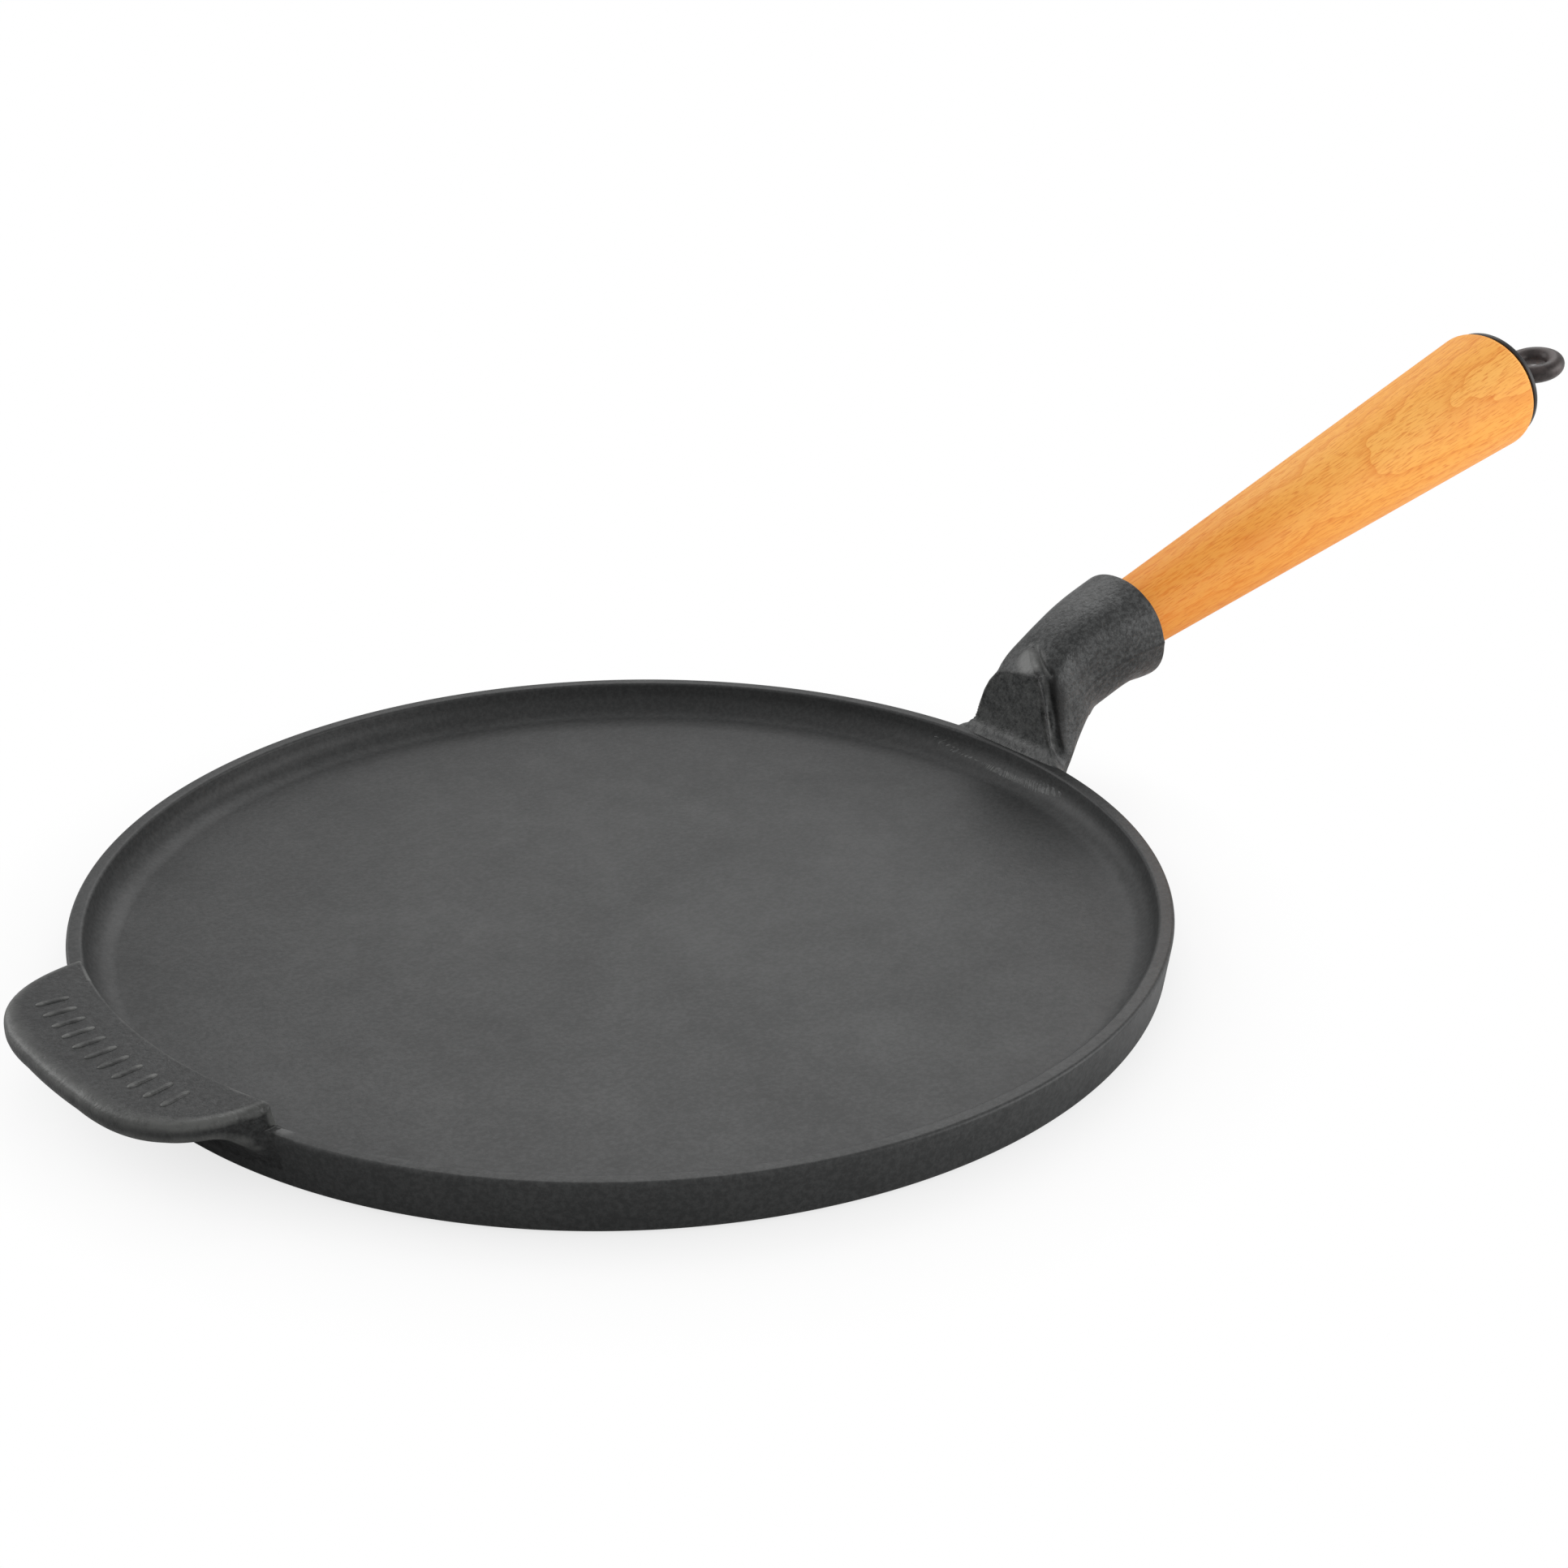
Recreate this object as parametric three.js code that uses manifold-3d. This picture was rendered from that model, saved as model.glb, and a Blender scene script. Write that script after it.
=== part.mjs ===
// Cast-iron pancake pan with a turned beech handle, held on by a long screwed rod with a hanging eye.
// Millimetres, +Z up. The origin is the centre of the flat underside and the handle points along +X.

import * as THREE from 'three';
import { mergeVertices } from 'three/addons/utils/BufferGeometryUtils.js';
import Module from 'manifold-3d';

// Pan: plate, low rim and flat ground base
const panRadius = 115.5;
const rimHeight = 11.2;
const plateThickness = 4.2;
const rimWidth = 3.4;
const outerWallLean = 1.45;
const innerWallLean = 1.4;
const heelRound = 1.8;
const crownRound = 0.8;
const plateFillet = 6;

// Helper grip: a raised tab across the rim, opposite the handle
const gripReach = 16.9;
const gripTopRise = 5.3;
const gripThickness = 4.4;
const gripHalfWidth = 35.8;
const gripRootFlare = 2;
const gripCornerRound = 24.8;
const gripEdgeRound = 1.5;
const gripGussetReach = 6;
const gripGussetDrop = 5.6;
const gripTurnDegrees = 1.66;

// Neck and socket: rises from the rim behind a flat gable and bends over to meet the handle
const mouthReach = 151;
const mouthHeight = 34.1;
const mouthRadius = 13.6;
const mouthRound = 1.2;
const mouthDrop = 0.5;
const handleAngle = THREE.MathUtils.degToRad(13.84);
const neckRootHalfWidth = 15;
const neckWaistHalfWidth = 8.5;
const neckTopRootInset = 0.8;
const neckTopRootHeight = 7;
const neckTopShoulderHeight = 43.8;
const neckTopBendReach = 11.5;
const neckTopBendHeight = 39.3;
const neckHeelInset = 1.5;
const neckHeelHeight = 2.4;
const neckHeelReach = 11;
const neckHeelRise = 9;
const neckUnderBendReach = 20.4;
const neckUnderBendHeight = 17.6;
const neckRootSquareness = 3.4;
const gableFootWidth = 34;
const gableWaistWidth = 22.6;
const gableShoulderWidth = 13.6;
const gableRidgeWidth = 1.6;
const gableFootHeight = 9.5;
const gableWaistHeight = 20.5;
const gableShoulderHeight = 29.6;
const gableRidgeHeight = 34.6;
const gableFootReach = 2.6;
const gableThickness = 5;
const gableOffset = 1.8;
const gableShoulderOffset = 0.1;
const gableRidgeOffset = -2.3;
const gableBevelReach = 3.2;

// Handle: one straight taper from the socket to the butt, bored through for the rod
const handleLength = 142.2;
const handleMouthRadius = 8.8;
const handleButtRadius = 16.4;
const buttRound = 2.3;
const spigotLength = 23.4;
const spigotTipRadius = 7.1;

// Rod with its hanging eye, screwed into the casting at the bottom of the socket
const rodRadius = 3;
const threadDepth = 8;
const drillPoint = 1.6;
const rodTipChamfer = 0.8;
const collarRadius = 5.2;
const collarLength = 1.6;
const shankRadius = 2.8;
const eyeRingRadius = 6.1;
const eyeBarRadius = 2.2;
const eyeSetback = 2.2;
const eyeCentreReach = 17.6;

// End cap: a domed steel washer between the butt and the eye
const capRadius = 14.9;
const capEdgeThickness = 1.4;
const capDomeRise = 2;
const capFlatRadius = 5.4;

// Fits between the pieces
const socketClearance = 0.3;
const rodClearance = 0.3;
const seatClearance = 0.3;
const trimSetback = 0.2;
const cutOverrun = 4;

// How finely round forms are faceted
const panSegments = 96;
const turnedSegments = 40;
const rodSegments = 24;
const roundSteps = 4;
const neckRings = 20;
const neckSides = 32;
const eyeBarSides = 12;
const eyeRingSides = 32;

const wasm = await Module();
wasm.setup();

const filletedPath = (corners) => {
  // An outline through corners [x, y, radius]: a corner with a radius is rounded by an arc that meets both sides
  const points = [];
  corners.forEach(([x, y, radius], index) => {
    const corner = new THREE.Vector2(x, y);
    if (!radius) {
      points.push(corner);
      return;
    }
    const before = new THREE.Vector2(...corners[index - 1]).sub(corner).normalize();
    const after = new THREE.Vector2(...corners[index + 1]).sub(corner).normalize();
    const halfAngle = Math.acos(before.dot(after)) / 2;
    const setback = radius / Math.tan(halfAngle);
    const inward = before.clone().add(after).normalize();
    const middle = inward.multiplyScalar(radius / Math.sin(halfAngle)).add(corner);
    const start = before.multiplyScalar(setback).add(corner).sub(middle);
    const end = after.multiplyScalar(setback).add(corner).sub(middle);
    const sweep = Math.atan2(start.cross(end), start.dot(end));
    for (let step = 0; step <= roundSteps; step += 1) {
      points.push(start.clone().rotateAround(new THREE.Vector2(), (sweep * step) / roundSteps).add(middle));
    }
  });
  return points;
};

const solidFrom = (geometry) => {
  const plain = geometry.clone();
  plain.deleteAttribute('normal');
  plain.deleteAttribute('uv');
  const merged = mergeVertices(plain);
  const corners = merged.index.array;
  const kept = [];
  for (let face = 0; face < corners.length; face += 3) {
    const [a, b, c] = corners.subarray(face, face + 3);
    if (a !== b && b !== c && c !== a) kept.push(a, b, c);
  }
  return new wasm.Manifold(new wasm.Mesh({
    numProp: 3,
    vertProperties: new Float32Array(merged.attributes.position.array),
    triVerts: new Uint32Array(kept),
  }));
};

const geometryFrom = (solid) => {
  const mesh = solid.getMesh();
  const geometry = new THREE.BufferGeometry();
  geometry.setAttribute('position', new THREE.BufferAttribute(mesh.vertProperties, 3));
  geometry.setIndex(new THREE.BufferAttribute(mesh.triVerts, 1));
  geometry.computeVertexNormals();
  return geometry;
};

// Turned about the upright axis: a profile of [radius, height]
const turnedUpright = (corners, segments) => (
  new THREE.LatheGeometry(filletedPath(corners), segments).rotateX(Math.PI / 2)
);

// Turned about the handle's line: a profile of [radius, distance past the socket's mouth]
const turnedOnHandle = (corners, segments) => (
  new THREE.LatheGeometry(filletedPath(corners), segments).rotateZ(-Math.PI / 2)
);

// The handle's own frame: origin at the centre of the socket's mouth, +X out along the handle
const handleFrame = new THREE.Group();
handleFrame.position.set(mouthReach, 0, mouthHeight);
handleFrame.rotation.y = -handleAngle;
handleFrame.updateMatrix();
const alongHandle = new THREE.Vector3(1, 0, 0).transformDirection(handleFrame.matrix);
const acrossHandle = new THREE.Vector3(0, 0, 1).transformDirection(handleFrame.matrix);

// Pan casting, first part: the plate and its rim as one turned dish
const baseRadius = panRadius - outerWallLean;
const rimInnerRadius = panRadius - rimWidth;
const wellRadius = rimInnerRadius - innerWallLean;

const dish = () => solidFrom(turnedUpright([
  [0, 0],
  [baseRadius, 0, heelRound],
  [panRadius, rimHeight, crownRound],
  [rimInnerRadius, rimHeight, crownRound],
  [wellRadius, plateThickness, plateFillet],
  [0, plateThickness],
], panSegments));

// The open space over the plate, which trims whatever is joined to the rim
const gripTop = rimHeight + gripTopRise;
const raisedWallLean = (innerWallLean * gripTopRise) / (rimHeight - plateThickness);

const spaceOverPlate = () => {
  const top = mouthHeight + mouthRadius + cutOverrun;
  const wellEdge = wellRadius + trimSetback;
  const rimEdge = rimInnerRadius + trimSetback;
  return solidFrom(turnedUpright([
    [0, plateThickness],
    [wellEdge, plateThickness],
    [rimEdge, rimHeight],
    [rimEdge + raisedWallLean, gripTop],
    [rimEdge + raisedWallLean, top],
    [0, top],
  ], panSegments));
};

// Helper grip: a flat tab with concentric outer edge, rounded corners and sides that flare into the rim
const gripOutline = () => {
  const outerRadius = panRadius + gripReach - gripEdgeRound;
  const halfWidth = gripHalfWidth - gripEdgeRound;
  const flaredWidth = halfWidth + gripRootFlare;
  const rootAngle = Math.asin(flaredWidth / rimInnerRadius);
  const rootX = -rimInnerRadius * Math.cos(rootAngle);
  const cornerAngle = Math.asin((halfWidth - gripCornerRound) / outerRadius);
  const cornerX = -outerRadius * Math.cos(cornerAngle);
  const cornerY = outerRadius * Math.sin(cornerAngle);
  const sideX = Math.min(cornerX + gripCornerRound, rootX - gripRootFlare);
  const flareX = (rootX + sideX) / 2;
  const shape = new THREE.Shape();
  shape.moveTo(rootX, flaredWidth);
  shape.quadraticCurveTo(flareX, halfWidth, sideX, halfWidth);
  shape.quadraticCurveTo(cornerX, halfWidth, cornerX, cornerY);
  shape.absarc(0, 0, outerRadius, Math.PI - cornerAngle, Math.PI + cornerAngle, false);
  shape.quadraticCurveTo(cornerX, -halfWidth, sideX, -halfWidth);
  shape.quadraticCurveTo(flareX, -halfWidth, rootX, -flaredWidth);
  shape.lineTo(rootX + rimWidth, -flaredWidth);
  shape.lineTo(rootX + rimWidth, flaredWidth);
  return shape;
};

const grip = () => {
  const tab = new THREE.ExtrudeGeometry(gripOutline(), {
    depth: gripThickness - 2 * gripEdgeRound,
    bevelThickness: gripEdgeRound,
    bevelSize: gripEdgeRound,
    bevelSegments: roundSteps,
    curveSegments: roundSteps * 2,
  });
  tab.translate(0, 0, gripTop - gripThickness + gripEdgeRound);
  const underside = gripTop - gripThickness;
  const gussetRing = solidFrom(turnedUpright([
    [rimInnerRadius, gripTop - gripEdgeRound],
    [rimInnerRadius, underside - gripGussetDrop],
    [panRadius, underside - gripGussetDrop],
    [panRadius + gripGussetReach, underside, gripGussetReach],
    [panRadius + gripReach / 2, underside + gripEdgeRound],
    [panRadius + gripReach / 2, gripTop - gripEdgeRound],
    [rimInnerRadius, gripTop - gripEdgeRound],
  ], panSegments));
  const gussetPlan = solidFrom(new THREE.ExtrudeGeometry(gripOutline(), {
    depth: gripTop,
    bevelEnabled: false,
    curveSegments: roundSteps,
  }));
  return solidFrom(tab).add(gussetRing.intersect(gussetPlan)).rotate([0, 0, gripTurnDegrees]);
};

// Neck: rings carried between an upper and a lower rail, squarish at the rim and round at the mouth
const railPoint = (x, z) => new THREE.Vector3(x, 0, z);

const neck = () => {
  const lastRing = new THREE.Vector3(mouthReach, 0, mouthHeight);
  lastRing.addScaledVector(alongHandle, -mouthRound).addScaledVector(acrossHandle, -mouthDrop);
  const mouthTop = lastRing.clone().addScaledVector(acrossHandle, mouthRadius);
  const mouthBottom = lastRing.clone().addScaledVector(acrossHandle, -mouthRadius);
  const upperRail = new THREE.CubicBezierCurve3(
    railPoint(panRadius - neckTopRootInset, neckTopRootHeight),
    railPoint(panRadius, neckTopShoulderHeight),
    railPoint(panRadius + neckTopBendReach, neckTopBendHeight),
    mouthTop,
  );
  const lowerRail = new THREE.CubicBezierCurve3(
    railPoint(panRadius - neckHeelInset, neckHeelHeight),
    railPoint(panRadius + neckHeelReach, neckHeelRise),
    railPoint(panRadius + neckUnderBendReach, neckUnderBendHeight),
    mouthBottom,
  );
  const widths = new THREE.CubicBezierCurve(
    new THREE.Vector2(0, neckRootHalfWidth),
    new THREE.Vector2(0, neckWaistHalfWidth),
    new THREE.Vector2(0, neckWaistHalfWidth),
    new THREE.Vector2(0, mouthRadius),
  );
  const positions = [];
  const addRing = (top, bottom, halfWidth, squareness) => {
    const middle = top.clone().add(bottom).divideScalar(2);
    const reach = top.clone().sub(bottom).divideScalar(2);
    const bulge = (value) => Math.sign(value) * Math.abs(value) ** (2 / squareness);
    for (let side = 0; side < neckSides; side += 1) {
      const angle = (2 * Math.PI * side) / neckSides;
      const point = middle.clone().addScaledVector(reach, bulge(Math.cos(angle)));
      point.y += halfWidth * bulge(Math.sin(angle));
      positions.push(...point);
    }
  };
  for (let ring = 0; ring <= neckRings; ring += 1) {
    const share = ring / neckRings;
    const squareness = THREE.MathUtils.lerp(neckRootSquareness, 2, Math.sqrt(share));
    addRing(upperRail.getPoint(share), lowerRail.getPoint(share), widths.getPoint(share).y, squareness);
  }
  for (let step = 1; step <= roundSteps; step += 1) {
    const turn = (Math.PI / 2) * (step / roundSteps);
    const middle = lastRing.clone().addScaledVector(alongHandle, mouthRound * Math.sin(turn));
    const radius = mouthRadius - mouthRound * (1 - Math.cos(turn));
    const top = middle.clone().addScaledVector(acrossHandle, radius);
    const bottom = middle.clone().addScaledVector(acrossHandle, -radius);
    addRing(top, bottom, radius, 2);
  }
  const ringCount = positions.length / 3 / neckSides;
  const faces = [];
  for (let ring = 0; ring + 1 < ringCount; ring += 1) {
    for (let side = 0; side < neckSides; side += 1) {
      const next = (side + 1) % neckSides;
      const [a, b] = [ring * neckSides + side, ring * neckSides + next];
      const [c, d] = [a + neckSides, b + neckSides];
      faces.push(a, c, b, b, c, d);
    }
  }
  const lastStart = (ringCount - 1) * neckSides;
  for (let side = 1; side + 1 < neckSides; side += 1) {
    faces.push(0, side, side + 1);
    faces.push(lastStart, lastStart + side + 1, lastStart + side);
  }
  const skin = new THREE.BufferGeometry();
  skin.setAttribute('position', new THREE.Float32BufferAttribute(positions, 3));
  skin.setIndex(faces);
  return solidFrom(skin);
};

// Gable: the flat web that faces the plate, cut from its side profile and its pointed outline
const gable = () => {
  const face = panRadius;
  const back = face + gableThickness;
  const profile = new THREE.Shape();
  profile.moveTo(face - gableFootReach, gableFootHeight);
  profile.quadraticCurveTo(face, gableFootHeight, face, gableWaistHeight);
  profile.lineTo(face, gableShoulderHeight);
  profile.lineTo(face + gableBevelReach, gableRidgeHeight);
  profile.lineTo(back + gableBevelReach, gableRidgeHeight);
  profile.lineTo(back, gableShoulderHeight);
  profile.lineTo(back, gableWaistHeight);
  profile.lineTo(face, neckTopRootHeight);
  profile.lineTo(face - gableFootReach, neckTopRootHeight);
  const sideways = new THREE.ExtrudeGeometry(profile, {
    depth: gableFootWidth,
    bevelEnabled: false,
    curveSegments: roundSteps * 2,
  });
  sideways.rotateX(Math.PI / 2);
  sideways.translate(0, gableFootWidth / 2 + gableOffset, 0);
  const corners = [
    [gableFootWidth, neckTopRootHeight, gableOffset],
    [gableFootWidth, gableFootHeight, gableOffset],
    [gableWaistWidth, gableWaistHeight, gableOffset],
    [gableShoulderWidth, gableShoulderHeight, gableShoulderOffset],
    [gableRidgeWidth, gableRidgeHeight, gableRidgeOffset],
  ];
  const outlineOn = (side) => corners.map(([width, height, offset]) => [offset + (side * width) / 2, height]);
  const [footLeft, flareLeft, ...upLeft] = outlineOn(1);
  const [footRight, flareRight, ...upRight] = outlineOn(-1);
  const front = new THREE.Shape();
  front.moveTo(...footLeft);
  front.lineTo(...flareLeft);
  front.quadraticCurveTo(upLeft[0][0], gableFootHeight + gableFootReach, ...upLeft[0]);
  upLeft.slice(1).forEach((corner) => front.lineTo(...corner));
  upRight.slice().reverse().forEach((corner) => front.lineTo(...corner));
  front.quadraticCurveTo(upRight[0][0], gableFootHeight + gableFootReach, ...flareRight);
  front.lineTo(...footRight);
  const outward = new THREE.ExtrudeGeometry(front, {
    depth: gableFootReach + gableThickness + gableBevelReach + 2 * cutOverrun,
    bevelEnabled: false,
    curveSegments: roundSteps * 2,
  });
  outward.rotateX(Math.PI / 2);
  outward.rotateZ(Math.PI / 2);
  outward.translate(face - gableFootReach - cutOverrun, 0, 0);
  return solidFrom(sideways).intersect(solidFrom(outward));
};

// Socket: a tapered hole for the wood with the tapped hole for the rod at its bottom
const socketDepth = spigotLength + seatClearance;
const threadedHoleEnd = socketDepth + threadDepth + seatClearance;

const socketHole = () => {
  const tipRadius = spigotTipRadius + socketClearance;
  const entryRadius = handleMouthRadius + socketClearance;
  const holeRadius = rodRadius + rodClearance;
  const hole = turnedOnHandle([
    [0, -threadedHoleEnd - drillPoint],
    [holeRadius, -threadedHoleEnd],
    [holeRadius, -socketDepth],
    [tipRadius, -socketDepth],
    [entryRadius, 0],
    [entryRadius, cutOverrun],
    [0, cutOverrun],
  ], turnedSegments);
  return solidFrom(hole.applyMatrix4(handleFrame.matrix));
};

const castingGeometry = () => {
  const joined = grip().add(neck()).add(gable()).subtract(spaceOverPlate());
  return geometryFrom(joined.add(dish()).subtract(socketHole()));
};

// Handle: beech, turned to one taper with a rounded butt
const woodGeometry = () => {
  const boreRadius = rodRadius + rodClearance;
  const turned = turnedOnHandle([
    [0, -spigotLength],
    [spigotTipRadius, -spigotLength],
    [handleMouthRadius, 0],
    [handleButtRadius, handleLength, buttRound],
    [0, handleLength],
  ], turnedSegments);
  const bore = turnedOnHandle([
    [0, -spigotLength - cutOverrun],
    [boreRadius, -spigotLength - cutOverrun],
    [boreRadius, handleLength + cutOverrun],
    [0, handleLength + cutOverrun],
  ], rodSegments);
  return geometryFrom(solidFrom(turned).subtract(solidFrom(bore)));
};

// End cap: a domed washer, turned, with a flat in the middle for the eye to bear on
const capBack = handleLength + seatClearance;
const capFront = capBack + capEdgeThickness + capDomeRise;

const capGeometry = () => {
  const holeRadius = rodRadius + rodClearance;
  const capShoulder = capBack + capEdgeThickness;
  const outline = new THREE.Shape();
  outline.moveTo(holeRadius, capBack);
  outline.lineTo(capRadius, capBack);
  outline.lineTo(capRadius, capBack + capEdgeThickness / 2);
  outline.quadraticCurveTo(capRadius, capShoulder, capRadius - capEdgeThickness, capShoulder);
  outline.quadraticCurveTo((capRadius + capFlatRadius) / 2, capFront, capFlatRadius, capFront);
  outline.lineTo(holeRadius, capFront);
  outline.lineTo(holeRadius, capBack);
  return new THREE.LatheGeometry(outline.getPoints(roundSteps), turnedSegments).rotateZ(-Math.PI / 2);
};

// Rod: one forging, a round bar with a collar that bears on the cap and the eye beyond it
const collarSeat = capFront + seatClearance;
const eyeCentre = capBack + eyeCentreReach;

const rodGeometry = () => {
  const tip = -socketDepth - threadDepth;
  const bar = solidFrom(turnedOnHandle([
    [0, tip],
    [rodRadius - rodTipChamfer, tip],
    [rodRadius, tip + rodTipChamfer],
    [rodRadius, collarSeat],
    [collarRadius, collarSeat],
    [collarRadius, collarSeat + collarLength],
    [shankRadius, eyeCentre - eyeRingRadius],
    [0, eyeCentre - eyeRingRadius],
  ], rodSegments));
  const ring = new THREE.TorusGeometry(eyeRingRadius, eyeBarRadius, eyeBarSides, eyeRingSides);
  ring.translate(eyeCentre, -eyeSetback, 0);
  return geometryFrom(bar.add(solidFrom(ring)));
};

const castIron = new THREE.MeshStandardMaterial({ color: 0x4a4d4e, roughness: 0.72, metalness: 0.45 });
const beech = new THREE.MeshStandardMaterial({ color: 0xd99a55, roughness: 0.55, metalness: 0 });
const blackenedSteel = new THREE.MeshStandardMaterial({ color: 0x2b2727, roughness: 0.5, metalness: 0.7 });
const waxedSteel = new THREE.MeshStandardMaterial({ color: 0x3a3231, roughness: 0.45, metalness: 0.75 });

const named = (name, geometry, material) => {
  const mesh = new THREE.Mesh(geometry, material);
  mesh.name = name;
  return mesh;
};

const pan = new THREE.Group();
pan.add(named('pan_casting', castingGeometry(), castIron));
handleFrame.add(named('wood_handle', woodGeometry(), beech));
handleFrame.add(named('end_cap', capGeometry(), blackenedSteel));
handleFrame.add(named('eye_rod', rodGeometry(), waxedSteel));
pan.add(handleFrame);
pan.updateMatrixWorld(true);

export default pan;
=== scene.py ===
import bmesh
import bpy
import numpy as np
from mathutils import Matrix


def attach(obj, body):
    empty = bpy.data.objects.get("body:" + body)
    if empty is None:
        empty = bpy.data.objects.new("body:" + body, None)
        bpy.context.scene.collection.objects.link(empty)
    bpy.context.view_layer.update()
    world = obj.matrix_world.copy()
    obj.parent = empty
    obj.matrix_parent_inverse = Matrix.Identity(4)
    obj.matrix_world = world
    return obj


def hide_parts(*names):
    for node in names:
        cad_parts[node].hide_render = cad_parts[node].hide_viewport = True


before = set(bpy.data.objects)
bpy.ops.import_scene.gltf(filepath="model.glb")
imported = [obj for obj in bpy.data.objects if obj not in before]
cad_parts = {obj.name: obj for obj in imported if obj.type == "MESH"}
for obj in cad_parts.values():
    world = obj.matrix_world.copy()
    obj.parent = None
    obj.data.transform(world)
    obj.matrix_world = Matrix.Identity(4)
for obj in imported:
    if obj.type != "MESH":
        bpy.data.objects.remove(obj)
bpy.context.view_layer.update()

# Cast dish. One casting of grey iron with a flat plate and a low rim, ground flat under the plate
# and seasoned black. The neck and the grip below are one piece with it, so their skins sink into it.
MM = 0.001
PAN_RADIUS = 115.4
RIM_HEIGHT = 11.2
PLATE_THICKNESS = 4.2
RIM_WIDTH = 3.4
OUTER_LEAN = 1.45
INNER_LEAN = 1.4
HEEL_ROUND = 1.8
CROWN_ROUND = 0.8
PLATE_FILLET = 6.0
RIM_INNER = PAN_RADIUS - RIM_WIDTH
WELL_RADIUS = RIM_INNER - INNER_LEAN
BASE_RADIUS = PAN_RADIUS - OUTER_LEAN


def rounded_path(corners, steps):
    """Points along corners (x, y, radius): each corner gives way to the arc of its radius that touches
    both of its sides, and a corner of radius 0 stays a point."""
    rows = []
    for index, (x, y, radius) in enumerate(corners):
        corner = np.array([x, y], float)
        if radius == 0:
            rows.append(corner[None])
            continue
        before = np.array(corners[index - 1][:2], float) - corner
        after = np.array(corners[(index + 1) % len(corners)][:2], float) - corner
        before /= np.linalg.norm(before)
        after /= np.linalg.norm(after)
        half = np.arccos(np.clip(before @ after, -1, 1)) / 2
        middle = corner + (before + after) / np.linalg.norm(before + after) * radius / np.sin(half)
        start = corner + before * radius / np.tan(half) - middle
        end = corner + after * radius / np.tan(half) - middle
        first = np.arctan2(start[1], start[0])
        sweep = (np.arctan2(end[1], end[0]) - first + np.pi) % (2 * np.pi) - np.pi
        angle = first + sweep * np.linspace(0, 1, steps + 1)
        rows.append(middle + radius * np.stack([np.cos(angle), np.sin(angle)], 1))
    return np.concatenate(rows)


def filled_in(path, widest):
    """The path with its long sides split evenly, so that no step is longer than the widest one."""
    rows = []
    for start, end in zip(path[:-1], path[1:]):
        count = max(int(np.ceil(np.linalg.norm(end - start) / widest)), 1)
        rows.append(start + (end - start) * np.linspace(0, 1, count, endpoint=False)[:, None])
    rows.append(path[-1:])
    return np.concatenate(rows)


def turned(profile, count):
    """A profile (radius, height) turned about the Z axis: x = r cos a, y = r sin a, z = h."""
    angle = np.linspace(0, 2 * np.pi, count, endpoint=False)
    radius, height = profile[:, :1], profile[:, 1:]
    return np.stack([radius * np.cos(angle), radius * np.sin(angle), height + 0 * angle], 2)


def skin_piece(name, grids, material):
    """A closed piece from grids of points in mm. Each grid's columns join round into rings, rows that
    shrink to a point become poles, and every quad is the cell between two rows and two columns."""
    points, quads, before = [], [], 0
    for grid in grids:
        rows, columns = grid.shape[:2]
        at = np.arange(rows * columns).reshape(rows, columns) + before
        right = np.roll(at, -1, 1)
        quads.append(np.stack([at[:-1], right[:-1], right[1:], at[1:]], 2).reshape(-1, 4))
        points.append(grid.reshape(-1, 3))
        before += rows * columns
    mesh = bpy.data.meshes.new(name)
    mesh.from_pydata((np.concatenate(points) * MM).tolist(), [], np.concatenate(quads).tolist())
    shell = bmesh.new()
    shell.from_mesh(mesh)
    bmesh.ops.remove_doubles(shell, verts=shell.verts, dist=0.002 * MM)
    bmesh.ops.dissolve_degenerate(shell, edges=shell.edges, dist=0.002 * MM)
    bmesh.ops.recalc_face_normals(shell, faces=shell.faces)
    shell.to_mesh(mesh)
    shell.free()
    mesh.polygons.foreach_set("use_smooth", np.ones(len(mesh.polygons), bool))
    mesh.materials.append(material)
    mark_crests(mesh)
    piece = bpy.data.objects.new(name, mesh)
    bpy.context.scene.collection.objects.link(piece)
    return piece


def points_of(mesh):
    """The mesh's points as three rows x, y and z in mm."""
    place = np.empty(len(mesh.vertices) * 3)
    mesh.vertices.foreach_get("co", place)
    return place.reshape(-1, 3).T / MM


def add_mark(mesh, name, values):
    """A number for each point of the mesh, which its material reads by this name."""
    mesh.attributes.new(name, "FLOAT", "POINT").data.foreach_set("value", values.astype(np.float32))


def mark_crests(mesh):
    """Attribute "crest": how sharply the skin bends outwards at each point, in 1/mm. It is the normal
    times the point's offset from the middle of its neighbours, over their mean squared distance, and
    then 5 times the mean of itself and its neighbours' mean."""
    count = len(mesh.vertices)
    place, normal = points_of(mesh).T, np.empty(count * 3)
    mesh.vertices.foreach_get("normal", normal)
    ends = np.empty(len(mesh.edges) * 2, int)
    mesh.edges.foreach_get("vertices", ends)
    normal, ends = normal.reshape(-1, 3), ends.reshape(-1, 2)
    both = np.concatenate([ends, ends[:, ::-1]])
    step = place[both[:, 0]] - place[both[:, 1]]
    lift = np.bincount(both[:, 0], (step * normal[both[:, 0]]).sum(1), count)
    spread = np.bincount(both[:, 0], (step ** 2).sum(1), count)
    crest = 2 * lift / np.maximum(spread, 1e-6)
    beside = np.maximum(np.bincount(both[:, 0], minlength=count), 1)
    for _ in range(5):
        crest = (crest + np.bincount(both[:, 0], crest[both[:, 1]], count) / beside) / 2
    add_mark(mesh, "crest", crest)


def tree_of(material):
    """The material's node tree, with its first shader in it."""
    material.use_nodes = True
    return material.node_tree


def add(tree, kind, **values):
    """A node of this kind, with its own properties or its input sockets set by name."""
    node = tree.nodes.new(kind)
    for key, value in values.items():
        if hasattr(node, key):
            setattr(node, key, value)
        else:
            node.inputs[key.replace("_", " ")].default_value = value
    return node


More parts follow.
